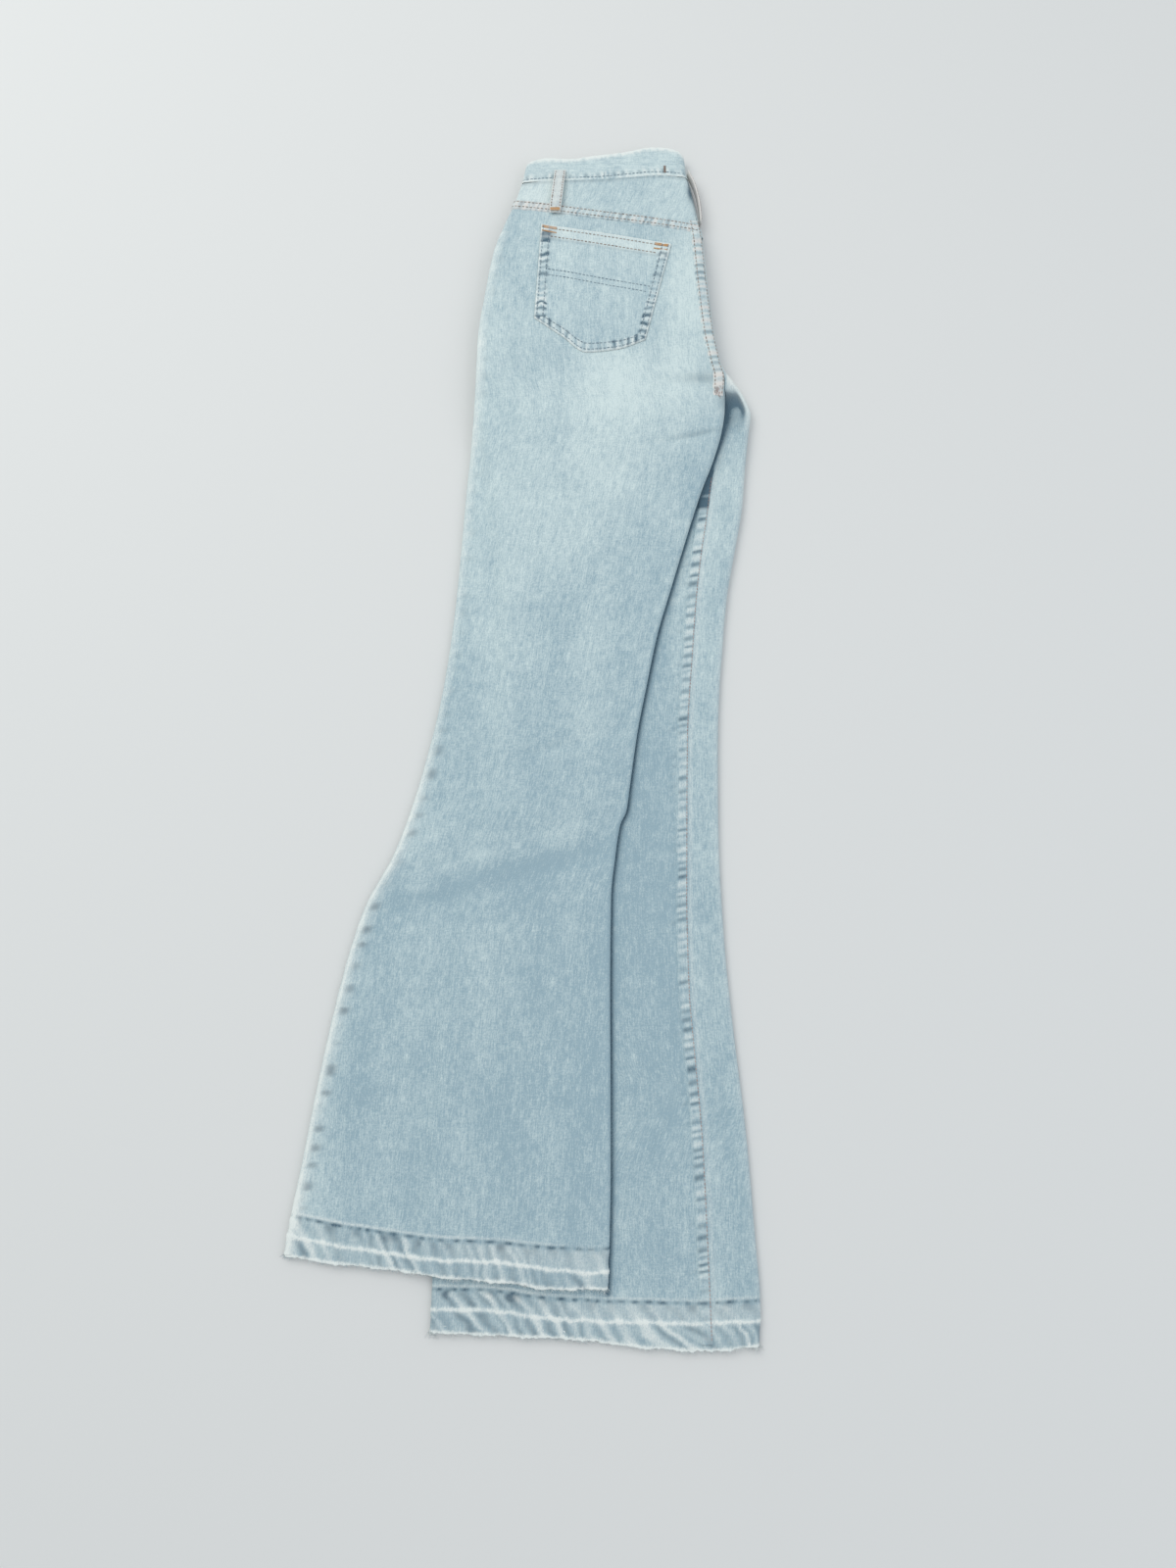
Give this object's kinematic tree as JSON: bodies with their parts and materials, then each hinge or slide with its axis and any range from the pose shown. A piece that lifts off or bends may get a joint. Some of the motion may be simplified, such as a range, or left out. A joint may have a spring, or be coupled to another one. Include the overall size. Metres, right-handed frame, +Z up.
{
  "type": "flared jeans folded in half",
  "caption": "Flared denim jeans folded in half lengthwise with the back outside, lying flat, with a back pocket, yoke, waistband, belt loops and let-down raw hems.",
  "frame": {"origin": "on the floor, under the middle of the folded garment's bounding box", "axes": "+Y from the hems to the waist, +X across the fold from the left leg's outseam to the fold and the right leg's inseam, +Z up off the floor"},
  "size_m": [0.4028, 1.104, 0.0223],
  "materials": {
    "denim": "pale washed denim, matte",
    "hem_denim": "let-down hem with a whitish worn fold line, matte",
    "seam_denim": "flat-felled seam with faded ridges, matte",
    "inner_denim": "pale washed denim, matte"
  },
  "bodies": {
    "root": {"hidden_layers": "inner_denim", "left_back_leg": "denim", "left_back_yoke": "denim", "right_back_yoke": "denim", "waistband": "denim", "left_back_pocket": "denim", "belt_loop_left_back": "denim", "belt_loop_centre_back": "denim", "right_front_leg": "denim", "right_back_leg": "denim", "left_leg_hem": "hem_denim", "right_leg_hem": "hem_denim", "yoke_seam": "seam_denim", "seat_seam": "seam_denim", "right_inseam": "seam_denim", "left_outseam": "seam_denim"}
  },
  "joints": []
}
